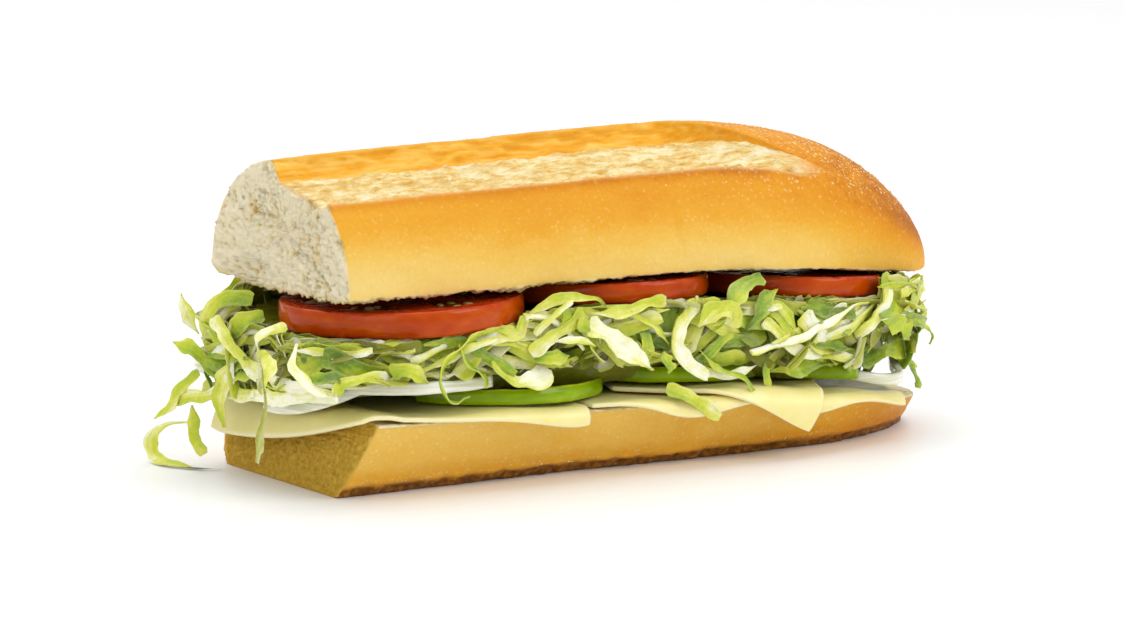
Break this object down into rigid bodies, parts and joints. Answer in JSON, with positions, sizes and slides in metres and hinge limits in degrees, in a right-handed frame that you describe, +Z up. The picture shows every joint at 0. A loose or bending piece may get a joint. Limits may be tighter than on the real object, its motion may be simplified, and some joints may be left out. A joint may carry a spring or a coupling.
{
  "type": "submarine sandwich",
  "caption": "Half of a slashed crusty roll, split and filled with cheese, pepper, onion, shredded lettuce and tomato slices, cut across at one end.",
  "frame": {"origin": "middle of the flat base of the lower bread half", "axes": "+X along the roll from the cut end to the rounded end, +Y to the back side, +Z up"},
  "size_m": [0.2343, 0.0966, 0.09],
  "materials": {
    "crust": "baked crust with pale crumb on the cut faces",
    "cheese": "smooth, slightly waxy sliced cheese",
    "tomato": "wet flesh and shiny skin",
    "pepper": "shiny green skin with pale cut flesh",
    "onion": "moist, slightly see-through white",
    "lettuce": "crisp leaf shreds from near white to green"
  },
  "bodies": {
    "root": {"bread_bottom": "crust", "bread_top": "crust", "cheese_slice_1": "cheese", "cheese_slice_2": "cheese", "cheese_slice_3": "cheese", "cheese_slice_4": "cheese", "tomato_slice_1": "tomato", "tomato_slice_2": "tomato", "tomato_slice_3": "tomato", "pepper_front_1": "pepper", "pepper_front_2": "pepper", "pepper_front_3": "pepper", "pepper_back_1": "pepper", "pepper_back_2": "pepper", "onion_front_1": "onion", "onion_front_2": "onion", "onion_front_3": "onion", "onion_back_1": "onion", "lettuce": "lettuce"}
  },
  "joints": []
}
